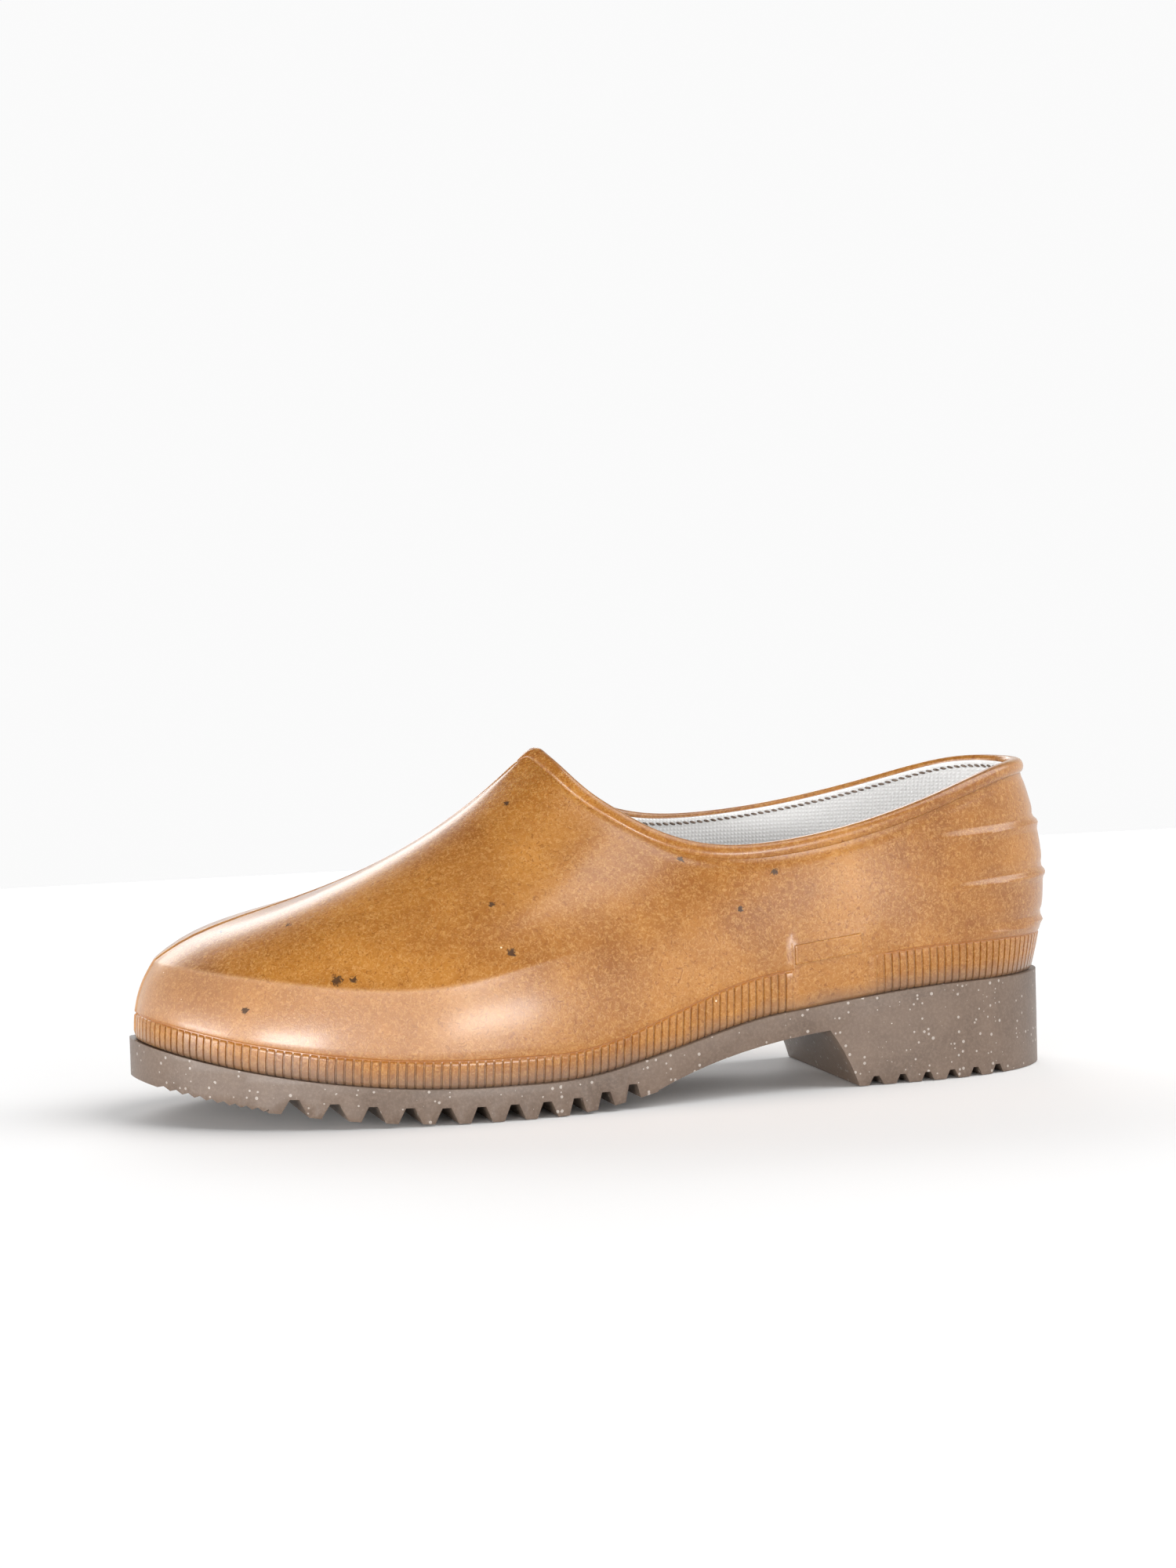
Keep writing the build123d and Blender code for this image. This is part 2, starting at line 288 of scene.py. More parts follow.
print("outsole top at the toe", round(sole_top(-146), 1), "at the heel", round(sole_top(143), 1))

# %% [markdown]
# Each wall is a Bezier curve from the foot to the collar. Its offset, along the wall's own normal,
# gives the shell's inside and the lining.


# %% Wall
SHELL_INSET = 1.6     # the outsole's edge stands proud of the shell
WALL = 2.8            # rubber of the shell


def wall_point(u, v):
    """Point on the wall at place u and height v, from 0 at the foot to 1 at the collar."""
    s, out, v = station(u), outward(u), np.asarray(v)[..., None]
    foot = edge_point(u, SHELL_INSET, 0)
    shoulder = foot + np.concatenate([out * s[..., 5:6], s[..., 6:7]], -1)
    collar = s[..., 2:5]
    pulled = collar + s[..., 7:10]
    lower = (1 - v) ** 3 * foot + 3 * v * (1 - v) ** 2 * shoulder
    return lower + 3 * v * v * (1 - v) * pulled + v**3 * collar


def unit(vectors):
    """Vectors at length 1."""
    return vectors / np.linalg.norm(vectors, axis=-1, keepdims=True)


def wall_normal(u, v):
    """Direction out of the wall."""
    high, low = np.minimum(v + 0.01, 1), np.maximum(v - 0.01, 0)
    rise = wall_point(u, high) - wall_point(u, low)
    along = wall_point(u + 0.02, v) - wall_point(u - 0.02, v)
    return unit(np.cross(along, rise))


# %% [markdown]
# Ribs and beads are laid out in real millimetres, so every column of the wall is measured by arc
# length. The collar's peak at the throat is worn round: the columns there are cut a little short.


# %% Columns of the wall
PEAK_ROUNDING, PEAK_REACH = 3.0, 0.35


class Columns:
    """Wall curves at chosen places round the clog, measured by arc length."""

    def __init__(self, places, samples=121):
        self.u = np.asarray(places, float)
        self.v = np.linspace(0, 1, samples)
        grid = wall_point(self.u[:, None] * np.ones(samples), np.ones((len(self.u), 1)) * self.v)
        steps = np.linalg.norm(np.diff(grid, axis=1), axis=2)
        self.arc = np.concatenate([np.zeros((len(self.u), 1)), np.cumsum(steps, 1)], 1)
        off_peak = np.minimum(self.u % COUNT, COUNT - self.u % COUNT)
        self.length = self.arc[:, -1] - PEAK_ROUNDING * np.exp(-((off_peak / PEAK_REACH) ** 2))

    def row(self, heights, depth):
        """Points at given heights up the wall, moved in by depth (negative is outwards)."""
        v = np.array([np.interp(h, arc, self.v) for h, arc in zip(heights, self.arc)])
        return wall_point(self.u, v) - wall_normal(self.u, v) * (depth * np.ones(len(v)))[:, None]


# %% Distance round the foot
RING_PLACES = np.linspace(0, COUNT, 4001)
FOOT_RING = wall_point(RING_PLACES, 0 * RING_PLACES)
FOOT_ARC = np.concatenate([[0], np.cumsum(np.linalg.norm(np.diff(FOOT_RING, axis=0), axis=1))])
PERIMETER = FOOT_ARC[-1]


def place_at(distance):
    """Place round the clog at a distance in millimetres along the foot ring."""
    return np.interp(distance, FOOT_ARC, RING_PLACES)


def distance_at(u):
    """The reverse: millimetres along the foot ring at a place."""
    return np.interp(u, RING_PLACES, FOOT_ARC)


print("foot ring", round(PERIMETER, 1), "mm")

# %% [markdown]
# ## Wrapping a grid round the last
# Every skin of the clog is one flat grid whose columns go round the clog and whose rows go up the
# wall, over the rim and down inside. A grid can't be bent into this shape by hand with the accuracy
# that ribs need, so its corners are placed by formula, and merging the doubles closes it.


# %% Grid to skin
def wrapped_grid(name, points, values=None):
    """Closed skin from points[row, column]; values are per-corner attributes of the same shape."""
    rows, columns = points.shape[:2]
    clear_selection()
    bpy.ops.mesh.primitive_grid_add(x_subdivisions=columns, y_subdivisions=rows, size=1)
    piece = name_piece(name)
    looped = np.concatenate([points, points[:, :1]], 1)
    looped = np.concatenate([looped, looped[:1]], 0) * MM
    piece.data.vertices.foreach_set("co", looped.reshape(-1).astype(np.float32))
    for key, data in (values or {}).items():
        wide = np.concatenate([data, data[:, :1]], 1)
        wide = np.concatenate([wide, wide[:1]], 0)
        attribute = piece.data.attributes.new(key, "FLOAT", "POINT")
        attribute.data.foreach_set("value", wide.reshape(-1).astype(np.float32))
    bpy.ops.object.mode_set(mode="EDIT")
    bpy.ops.mesh.select_all(action="SELECT")
    bpy.ops.mesh.remove_doubles(threshold=0.000002)
    bpy.ops.mesh.normals_make_consistent(inside=False)
    bpy.ops.object.mode_set(mode="OBJECT")
    return piece


# %% [markdown]
# ## Upper: where the features run
# The band of upright ribs follows the outsole. Above it the toe is nearly upright and then folds
# over in a crease that fades out behind the ball of the foot. Three small kick-off ledges cross the
# heel, a fine ridge left by the mould runs down the middle of the vamp, and a smooth raised pad
# interrupts the ribs under the outer ankle.

# %% Feature lines
RIB_PITCH, RIB_WIDTH, RIB_SLOPE, RIB_DEPTH = 2.57, 1.8, 0.14, 0.42
# Crease: place from the toe, height on the wall
CREASE = [(0, 24.5), (1, 25.8), (2, 27.5), (3, 28.6), (3.5, 30),
          (4, 35), (4.5, 40), (5, 41), (6, 34), (10, 30)]
CREASE_HEIGHT, CREASE_REACH = 0.9, 4.0
CREASE_ROOM = 4.2                    # rows of the crease reach this far above and below it
BEAD_SIZE, COLLAR_BEAD = 1.2, 5.0    # how far the collar's bead stands out, and its height
HEEL_LEDGES, LEDGE_SIZE = [76, 60, 45], 0.85
RIDGE_HEIGHT, RIDGE_WIDTH = 0.5, 0.65
PAD_START, PAD_END, PAD_TOP = 49.0, 81.0, 23.0


def around(u):
    """Place measured from the toe, the same on the outer and the inner side: 0 to 10."""
    u = np.asarray(u) % COUNT
    return np.minimum(u, COUNT - u)


def band_height(u):
    """Height of the ribbed band, higher behind the ball of the foot."""
    return 8 + 4.4 * ease(station(u)[..., 0], -25, 35)


def crease_height(u):
    """Height of the toe's crease on the wall, its corners smoothed."""
    fold = np.array(CREASE, float)
    fine = np.linspace(0, 10, 401)
    line = np.interp(fine, fold[:, 0], fold[:, 1])
    window = np.hanning(41) / np.hanning(41).sum()
    soft = np.convolve(np.pad(line, 20, mode="edge"), window, "valid")
    return np.interp(around(u), fine, soft)


print("crease", round(float(crease_height(0)), 1), "mm up the toe")

# %% [markdown]
# Every rib has four columns: two at its top and two in the grooves beside it. A few more run down
# the toe and the heel, where the mould's ridge needs them.

# %% Columns of the upper
rib_count = 2 * round(PERIMETER / RIB_PITCH / 2)
pitch = PERIMETER / rib_count
half_rib = pitch * RIB_WIDTH / RIB_PITCH / 2
rib_steps = np.array([-half_rib - RIB_SLOPE, -half_rib, half_rib, half_rib + RIB_SLOPE])
offsets = [pitch * k + step for k in range(rib_count) for step in rib_steps]
grooved = [1, 0, 0, 1] * rib_count
for extra in (-0.55, -0.3, 0, 0.3, 0.55):
    offsets.append(extra)
    grooved.append(0)
    offsets.append(distance_at(HEEL) + extra * 2)
    grooved.append(0)
offsets = np.array(offsets) % PERIMETER
order = np.argsort(offsets)
shell = Columns(place_at(offsets[order]))
groove = np.array(grooved, float)[order]
print(rib_count, "ribs,", len(shell.u), "columns")

# %% [markdown]
# ## Upper: the skin
# Rows are close together where the form turns sharply: at the ribs' feet, at the top of the band,
# at the crease and on the collar's bead. Each row knows its height on the wall, so reliefs are
# simple formulas that push the skin in or out.


# %% Rows of the upper
def relief(columns, heights):
    """How far crease and collar bead stand out from the smooth last, in millimetres."""
    u = columns.u
    out = np.zeros(len(u))
    fold = 1 - ease(around(u), 3.2, 4.9)
    gap = np.abs(heights - crease_height(u))
    out += fold * CREASE_HEIGHT * np.exp(-np.sqrt(gap**2 + 0.35) / CREASE_REACH)
    below = columns.length - heights
    bead = np.clip(1 - ((below - COLLAR_BEAD / 2) / (COLLAR_BEAD / 2)) ** 2, 0, 1)
    sides = ease(around(u), 0.15, 1.3)
    size = BEAD_SIZE * (0.35 + 0.65 * sides) * (1 + 0.35 * ease(around(u), 7.5, 9.5))
    out += size * np.sqrt(bead) * ease(below, -0.1, 0.6)
    out -= 0.22 * np.exp(-(((below - COLLAR_BEAD - 1.4) / 1.5) ** 2)) * sides
    return out


# Each row is its height, how much of the ribs it has, and an extra step outwards
band = band_height(shell.u)
fold_at = crease_height(shell.u)
rows = [(0.0 * band, 1.0, -0.55), (0.0 * band + 0.5, 1.0, -0.12), (0.0 * band + 1.2, 1.0, 0.0)]
rows += [(band * share, 1.0, 0.0) for share in (0.35, 0.6, 0.82)]
for step, rib, edge in ((-0.75, 1, 0), (-0.45, 0.6, -0.12), (-0.2, 0, -0.45), (0.1, 0, -0.45),
                        (0.35, 0, -0.05), (0.8, 0, 0.05)):
    rows.append((band + step, rib, edge))
lower_room = fold_at - CREASE_ROOM - (band + 0.8)
rows += [(band + 0.8 + lower_room * share, 0.0, 0.0) for share in np.linspace(0, 1, 10)[1:]]
rows += [(fold_at + step, 0.0, 0.0) for step in (-2.6, -1.5, -0.8, -0.4, 0, 0.4, 0.8, 1.5, 2.6, 4.2)]
upper_start = fold_at + CREASE_ROOM
upper_room = shell.length - 7.4 - upper_start
rows += [(upper_start + upper_room * share, 0.0, 0.0) for share in np.linspace(0, 1, 27)[1:]]
for down, edge in ((6.6, 0), (6, 0), (5.4, 0), (5, 0), (4.8, 0), (4.3, 0), (3.5, 0), (2.7, 0), (1.9, 0),
                   (1.2, -0.1), (0.6, -0.35), (0.2, -0.8), (0, -1.4)):
    rows.append((shell.length - down, 0.0, edge))
print(len(rows), "rows outside")


# %% [markdown]
# Three more reliefs are worked out from points in space instead of heights on the wall: the smooth
# pad, the heel's ledges and the mould's ridge.


# %% Pad, ledges and ridge
def pad_mask(points, heights):
    """1 on the smooth raised pad under the outer ankle, 0 elsewhere."""
    x, y = points[:, 0], points[:, 1]
    along = ease(x, PAD_START - 0.9, PAD_START + 0.9) * (1 - ease(x, PAD_END - 9, PAD_END + 3))
    return along * (1 - ease(heights, PAD_TOP - 2, PAD_TOP)) * (y < 0)


def ledge_relief(columns, points):
    """Kick-off ledges: a soft step across the heel, fading forwards."""
    out = np.zeros(len(columns.u))
    for level in HEEL_LEDGES:
        drop = points[:, 2] - (level + 0.05 * (points[:, 0] - 140))
        step = np.exp(-((drop / 1.3) ** 2)) - 0.6 * np.exp(-(((drop - 2.4) / 1.5) ** 2))
        out += LEDGE_SIZE * step * ease(around(columns.u), 7.7, 8.7)
    return out


def ridge_relief(columns, points, heights):
    """Fine raised line along the mould's parting, from the throat to the band of ribs."""
    middle = points[np.argmin(around(columns.u))]
    gap = np.linalg.norm(points - middle, axis=1)
    ends = ease(heights, 1, 2) * ease(columns.length - heights, 3, 8)
    return RIDGE_HEIGHT * np.exp(-((gap / RIDGE_WIDTH) ** 2)) * ends * (around(columns.u) < 3)


# %% [markdown]
# The skin goes up the outside, over the rim, down the inside and under the foot, where the shell is
# turned in. Five values stay on its corners for the materials: its height, and masks for painted
# shade in the grooves, a painted highlight on the crease and the mould's ridge, a painted reflection
# on the upright wall of the toe, and painted shade along the band's top.

# %% Skin of the upper
PAD_HEIGHT = 0.5
FLANGE_WIDTH, FLANGE_TOP, FLANGE_FOOT = 13.0, 2.1, 0.1
skin, lift, groove_shade_mask, crease_highlight_mask, band_top_shade_mask, wall_reflection_mask = [], [], [], [], [], []
for heights, rib, edge in rows:
    smooth = shell.row(heights, 0.0)
    toe_line = ridge_relief(shell, smooth, heights)
    pad = pad_mask(smooth, heights)
    ribs = rib * (1 - pad)
    out = relief(shell, heights) + edge * (1 - pad * (heights > 1.5)) - RIB_DEPTH * groove * ribs
    out += PAD_HEIGHT * pad + ledge_relief(shell, smooth) + toe_line
    skin.append(shell.row(heights, -out))
    lift.append(heights)
    # painted shade: the grooves between the ribs are darkened in colour
    groove_shade_mask.append(groove * ribs)
    # painted highlight: a pale line along the toe's crease and along the mould's ridge
    crease_highlight_line = np.exp(-(((heights - fold_at) / 0.7) ** 2)) * (1 - ease(around(shell.u), 3, 4.5))
    crease_highlight_mask.append(np.maximum(crease_highlight_line, toe_line / RIDGE_HEIGHT))
    # painted reflection: the upright wall of the toe is made paler and pinker in colour
    upright = ease(fold_at - heights, -0.4, 0.6) * ease(heights - band, 0, 1.5)
    wall_reflection_mask.append(upright * (1 - ease(around(shell.u), 3.0, 4.9)))
    # painted shade: a darker amber line in the groove along the band's top
    band_top_shade_mask.append(np.exp(-(((heights - band) / 0.45) ** 2)) * (1 - pad) * np.ones(len(band)))
for down, depth in ((0.15, 2.1), (0.6, 2.6), (1.4, WALL), (4, WALL)):
    skin.append(shell.row(shell.length - down, depth))
    lift.append(shell.length - down)
for share in np.linspace(0.94, 0.04, 20):
    skin.append(shell.row(shell.length * share, WALL))
    lift.append(shell.length * share)
for rise in (FLANGE_TOP, FLANGE_FOOT):
    skin.append(edge_point(shell.u, FLANGE_WIDTH, rise))
    lift.append(0 * band)
blank = [0 * band] * (len(skin) - len(groove_shade_mask))
marks = {"lift": lift, "gap": groove_shade_mask + blank, "fold": crease_highlight_mask + blank, "band_top_shade": band_top_shade_mask + blank,
         "wall": wall_reflection_mask + blank}
marks = {key: np.array(data) for key, data in marks.items()}
upper = wrapped_grid("upper_shell_skin", np.array(skin), marks)
print(len(skin), "rows,", len(upper.data.polygons), "faces")

# %% [markdown]
# ## Outsole
# The outsole's lugs and arch are already right in the frame. What a moulded sole adds is its slightly
# rounded edges, which catch the light. So its mesh is copied, merged, and its edges are bevelled.

# %% Outsole
clear_selection()
outsole = frame["nodes"]["outsole"].copy()
outsole.data = outsole.data.copy()
outsole.parent = None
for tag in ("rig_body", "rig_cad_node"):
    if tag in outsole:
        del outsole[tag]
bpy.context.collection.objects.link(outsole)
outsole.name = outsole.data.name = "outsole_moulding"
choose(outsole)
bpy.ops.object.mode_set(mode="EDIT")
bpy.ops.mesh.select_all(action="SELECT")
bpy.ops.mesh.remove_doubles(threshold=0.000005)
bpy.ops.mesh.dissolve_limited(angle_limit=math.radians(0.05))
bpy.ops.object.mode_set(mode="OBJECT")
bpy.ops.object.modifier_add(type="BEVEL")
bevel = outsole.modifiers[-1]
bevel.width, bevel.segments, bevel.limit_method = 0.4 * MM, 2, "ANGLE"
bevel.angle_limit = math.radians(28)
bevel.use_clamp_overlap = True
bpy.ops.object.modifier_apply(modifier=bevel.name)
print("outsole", len(outsole.data.polygons), "faces")

# %% [markdown]
# ## Lining
# The knitted sock is stretched over the last before the shell is injected round it. It shows only at
# the collar, but it is one closed tube of cloth down to the insole board, so all of it is made.

# %% Lining
CLOTH_OUT, CLOTH_IN = 2.85, 4.15       # depths of its two faces in the wall
LINING_EDGE, FOOT_EDGE = 1.0, 3.2      # below the rim, and above the outsole's top
knit = Columns(place_at(np.linspace(0, PERIMETER, 321)[:-1]))
cloth = []
for down, depth in ((LINING_EDGE + 0.5, CLOTH_OUT), (LINING_EDGE + 0.1, CLOTH_OUT + 0.3), (LINING_EDGE, 3.5),
                    (LINING_EDGE + 0.1, CLOTH_IN - 0.25), (LINING_EDGE + 0.5, CLOTH_IN)):
    cloth.append(knit.row(knit.length - down, depth))
levels = [FOOT_EDGE + (knit.length - FOOT_EDGE) * share for share in np.linspace(0.97, 0, 34)]
cloth += [knit.row(heights, CLOTH_IN) for heights in levels]
cloth += [knit.row(heights, CLOTH_OUT) for heights in reversed(levels)]
lining = wrapped_grid("knitted_sock", np.array(cloth))
sock_area = sum(face.area for face in lining.data.polygons) / 2
print("sock", round(sock_area, 4), "m2")

# %% [markdown]
# ## Patches on the wall
# The tape over the sock's closing seam and the blank raised plate under the ankle are thin patches
# that follow the wall. A grid is laid on the wall and Solidify gives it thickness.


# %% Patch
def patch(name, places, heights, depth, thickness, soften):
    """Thin plate on the wall; places and heights are its columns and rows."""
    columns = Columns(places, samples=161)
    clear_selection()
    bpy.ops.mesh.primitive_grid_add(x_subdivisions=len(places) - 1, y_subdivisions=len(heights) - 1, size=1)
    piece = name_piece(name)
    points = np.array([columns.row(np.full(len(places), h), depth) for h in heights]) * MM
    piece.data.vertices.foreach_set("co", points.reshape(-1).astype(np.float32))
    bpy.ops.object.modifier_add(type="SOLIDIFY")
    piece.modifiers[-1].thickness = thickness * MM
    piece.modifiers[-1].offset = 1
    bpy.ops.object.modifier_apply(modifier=piece.modifiers[-1].name)
    bpy.ops.object.modifier_add(type="BEVEL")
    piece.modifiers[-1].width, piece.modifiers[-1].segments = soften * MM, 2
    piece.modifiers[-1].angle_limit = math.radians(50)
    bpy.ops.object.modifier_apply(modifier=piece.modifiers[-1].name)
    bpy.ops.object.mode_set(mode="EDIT")
    bpy.ops.mesh.select_all(action="SELECT")
    bpy.ops.mesh.normals_make_consistent(inside=False)
    bpy.ops.object.mode_set(mode="OBJECT")
    return piece


# %% Tape and plate
heel_length = Columns([HEEL]).length[0]
tape = patch("sock_back_tape", place_at(distance_at(HEEL) + np.linspace(-2.5, 2.5, 9)),
             np.linspace(0.26, 0.9, 40) * heel_length, 4.35, 0.45, 0.15)
plate = patch("blank_plate", np.linspace(6.5, 7.1, 31), np.linspace(14, 20, 9), -0.35, 0.75, 0.25)
plate_lift = plate.data.attributes.new("lift", "FLOAT", "POINT")
plate_lift.data.foreach_set("value", np.full(len(plate.data.vertices), 17.0, np.float32))
print("tape and plate", len(tape.data.polygons), len(plate.data.polygons), "faces")

# %% [markdown]
# ## Stitching
# A seam is one stitch repeated. The stitch is a short soft capsule, modelled once, and the row of
# copies follows its line with the stitches turned along it.


# %% Stitch rows
def stitch_row(name, line, length, thick, slant):
    """Copies of one stitch along a closed line of points, made one mesh."""
    clear_selection()
    bpy.ops.mesh.primitive_uv_sphere_add(segments=6, ring_count=5, radius=1)
    stitch = bpy.context.object
    capsule = np.array([vertex.co for vertex in stitch.data.vertices])
    faces = [tuple(face.vertices) for face in stitch.data.polygons]
    bpy.ops.object.delete()
    steps = np.linalg.norm(np.diff(line, axis=0, append=line[:1]), axis=1)
    arc = np.concatenate([[0], np.cumsum(steps)])
    count = int(arc[-1] / length)
    spots = (np.arange(count) + 0.5) * arc[-1] / count
    wide = np.concatenate([line, line[:1]])
    centre = np.stack([np.interp(spots, arc, wide[:, k]) for k in range(3)], 1)
    ahead = np.stack([np.interp((spots + 0.3) % arc[-1], arc, wide[:, k]) for k in range(3)], 1)
    forward = unit(ahead - centre)
    upward = unit(np.array([0, 0, 1.0]) - forward * forward[:, 2:3])
    forward = unit(forward + slant * upward)
    side = unit(np.cross(forward, upward))
    upward = np.cross(side, forward)
    body = (capsule[None, :, 2:3] * forward[:, None] * length * 0.46
            + capsule[None, :, 0:1] * side[:, None] * thick / 2
            + capsule[None, :, 1:2] * upward[:, None] * thick / 2 + centre[:, None])
    mesh = bpy.data.meshes.new(name)
    shift = len(capsule)
    copies = [tuple(i + shift * k for i in face) for k in range(count) for face in faces]
    mesh.from_pydata(body.reshape(-1, 3) * MM, [], copies)
    piece = bpy.data.objects.new(name, mesh)
    bpy.context.collection.objects.link(piece)
    choose(piece)
    bpy.ops.object.mode_set(mode="EDIT")
    bpy.ops.mesh.select_all(action="SELECT")
    bpy.ops.mesh.normals_make_consistent(inside=False)
    bpy.ops.object.mode_set(mode="OBJECT")
    print(name, count, "stitches")
    return piece


# %% Overlock and board seam
overlock = stitch_row("collar_overlock", knit.row(knit.length - 2.6, 4.45), 2.3, 0.8, 0.35)
board_edge = edge_point(knit.u, 7.65, 5.0)
strobel = stitch_row("board_seam", board_edge, 3.2, 0.8, 0.3)

# %% [markdown]
# ## Footbed
# The loose footbed is a foam sheet with a cloth cover, cut to the plan of the last and bent to its
# slope. Its plan is found from the outline, and its top is slightly dished along the middle.


# %% Layers of the footbed
DISH = 0.35


def bed_layer(name, inset, rise, thickness, soften):
    """Sheet on the plan of the outline moved in by inset, at a height over the outsole's top."""
    rim = np.array([edge_point(u, inset, 0) for u in np.linspace(0, COUNT, 2001)[:-1]])
    rim = np.roll(rim, -rim[:, 0].argmin(), 0)
    heel = rim[:, 0].argmax()
    outer = rim[:heel + 1]
    inner = np.concatenate([rim[heel:], rim[:1]])[::-1]
    closer_at_ends = 0.5 - 0.5 * np.cos(np.linspace(0, np.pi, 91))
    along = rim[0, 0] + (rim[heel, 0] - rim[0, 0]) * closer_at_ends
    low_y = np.interp(along, np.maximum.accumulate(outer[:, 0]), outer[:, 1])
    high_y = np.interp(along, np.maximum.accumulate(inner[:, 0]), inner[:, 1])
    across = 0.5 - 0.5 * np.cos(np.linspace(0, np.pi, 25))
    y = low_y[None] + (high_y - low_y)[None] * across[:, None]
    x = np.ones((25, 1)) * along
    dish = DISH * np.sin(np.pi * across)[:, None]
    points = np.stack([x, y, sole_top(x) + rise - dish], -1)
    clear_selection()
    bpy.ops.mesh.primitive_grid_add(x_subdivisions=90, y_subdivisions=24, size=1)
    piece = name_piece(name)
    piece.data.vertices.foreach_set("co", (points * MM).reshape(-1).astype(np.float32))
    bpy.ops.object.mode_set(mode="EDIT")
    bpy.ops.mesh.select_all(action="SELECT")
    bpy.ops.mesh.remove_doubles(threshold=0.00002)
    bpy.ops.mesh.normals_make_consistent(inside=False)
    bpy.ops.object.mode_set(mode="OBJECT")
    bpy.ops.object.modifier_add(type="SOLIDIFY")
    piece.modifiers[-1].thickness = thickness * MM
    middle = piece.data.polygons[len(piece.data.polygons) // 2]
    piece.modifiers[-1].offset = -1 if middle.normal.z > 0 else 1
    bpy.ops.object.modifier_apply(modifier=piece.modifiers[-1].name)
    bpy.ops.object.modifier_add(type="BEVEL")
    piece.modifiers[-1].width, piece.modifiers[-1].segments = soften * MM, 2
    piece.modifiers[-1].angle_limit = math.radians(40)
    bpy.ops.object.modifier_apply(modifier=piece.modifiers[-1].name)
    return piece


# %% Footbed
BED_INSET, FOAM_TOP, COVER_TOP = 8.85, 9.45, 10.35
foam = bed_layer("footbed_foam", BED_INSET, FOAM_TOP, 4.9, 0.8)
cover = bed_layer("footbed_cloth", BED_INSET, COVER_TOP, 0.8, 0.25)
print("footbed", len(foam.data.polygons), "faces, cover", len(cover.data.polygons))

# %% [markdown]
# ## Materials
# Every finish is worked out from Object coordinates or from the skin's own values, so it stays on the
# piece. A helper adds a node and sets or links its sockets by name.


# %% Node helpers
def node(tree, kind, operation=None, **sockets):
    """Node with its sockets linked or set; i0, i1 name a socket by its number, _ is a space."""
    made = tree.nodes.new(kind)
    if operation:
        if kind == "ShaderNodeMix":
            made.data_type = operation
        else:
            made.operation = operation
    for key, value in sockets.items():
        key = key.replace("_", " ")
        number = int(key[1:]) if key[0] == "i" and key[1:].isdigit() else key
        socket = made.inputs[number]
        if isinstance(value, bpy.types.NodeSocket):
            tree.links.new(value, socket)
        else:
            socket.default_value = value
    return made


# %% Ramp and mix
def ramp(tree, value, *stops):
    """Colour ramp with two stops, each (position, colour or grey)."""
    made = node(tree, "ShaderNodeValToRGB", Fac=value)
    for element, (position, shade) in zip(made.color_ramp.elements, stops):
        element.position = position
        element.color = (*shade, 1) if isinstance(shade, tuple) else (shade, shade, shade, 1)
    return made.outputs["Color"]


def blend(tree, share, first, second):
    """Mix of two colours; share is a socket, and a colour may be one."""
    made = node(tree, "ShaderNodeMix", "RGBA", i0=share)
    for index, value in ((6, first), (7, second)):
        if isinstance(value, bpy.types.NodeSocket):
            tree.links.new(value, made.inputs[index])
        else:
            made.inputs[index].default_value = (*value, 1)
    return made.outputs[2]


# %% Material and bump
def material(name, roughness, specular=0.5):
    """New material, its node tree, its shader and its Object coordinates."""
    made = bpy.data.materials.new(name)
    made.use_nodes = True
    shader = made.node_tree.nodes["Principled BSDF"]
    shader.inputs["Roughness"].default_value = roughness
    shader.inputs["Specular IOR Level"].default_value = specular
    place = made.node_tree.nodes.new("ShaderNodeTexCoord").outputs["Object"]
    return made, made.node_tree, shader, place


def bump(tree, shader, height, strength, distance):
    """Fine relief on the shader's normal; distance in metres."""
    made = node(tree, "ShaderNodeBump", Height=height, Strength=strength, Distance=distance)
    tree.links.new(made.outputs["Normal"], shader.inputs["Normal"])


# %% [markdown]
# ### Flecks, used in both rubbers
# Regrind and dust leave small flecks. A Voronoi cell has a fleck only if its random value is high,
# so flecks are sparse and uneven.

# %% Fleck group
flecks = bpy.data.node_groups.new("flecks", "ShaderNodeTree")
for name, kind, way in (("Place", "NodeSocketVector", "INPUT"), ("Scale", "NodeSocketFloat", "INPUT"),
                        ("Size", "NodeSocketFloat", "INPUT"), ("Rarity", "NodeSocketFloat", "INPUT"),
                        ("Mask", "NodeSocketFloat", "OUTPUT")):
    flecks.interface.new_socket(name, in_out=way, socket_type=kind)
enter = flecks.nodes.new("NodeGroupInput")
leave = flecks.nodes.new("NodeGroupOutput")
cells = node(flecks, "ShaderNodeTexVoronoi", Vector=enter.outputs["Place"], Scale=enter.outputs["Scale"])
split = node(flecks, "ShaderNodeSeparateColor", Color=cells.outputs["Color"])
rare = node(flecks, "ShaderNodeMath", "GREATER_THAN", i0=split.outputs["Red"], i1=enter.outputs["Rarity"])
sized = node(flecks, "ShaderNodeMath", "MULTIPLY", i0=enter.outputs["Size"], i1=split.outputs["Green"])
near = node(flecks, "ShaderNodeMath", "LESS_THAN", i0=cells.outputs["Distance"], i1=sized.outputs[0])
both = node(flecks, "ShaderNodeMath", "MULTIPLY", i0=rare.outputs[0], i1=near.outputs[0])
flecks.links.new(both.outputs[0], leave.inputs["Mask"])
print("fleck group", len(flecks.nodes), "nodes")


def fleck_mask(tree, place, scale, size, rarity):
    """The group placed in a material, with its own values."""
    made = tree.nodes.new("ShaderNodeGroup")
    made.node_tree = flecks
    tree.links.new(place, made.inputs["Place"])
    for key, value in (("Scale", scale), ("Size", size), ("Rarity", rarity)):
        made.inputs[key].default_value = value
    return made.outputs["Mask"]


# %% [markdown]
# ### Amber rubber
# The shell is translucent, so the light knit behind it and its own thickness make clouds of lighter
# and darker amber. Short textile fibres give it a fine fuzzy grain. Near the outsole the grey-brown
# of the second shot shows through.

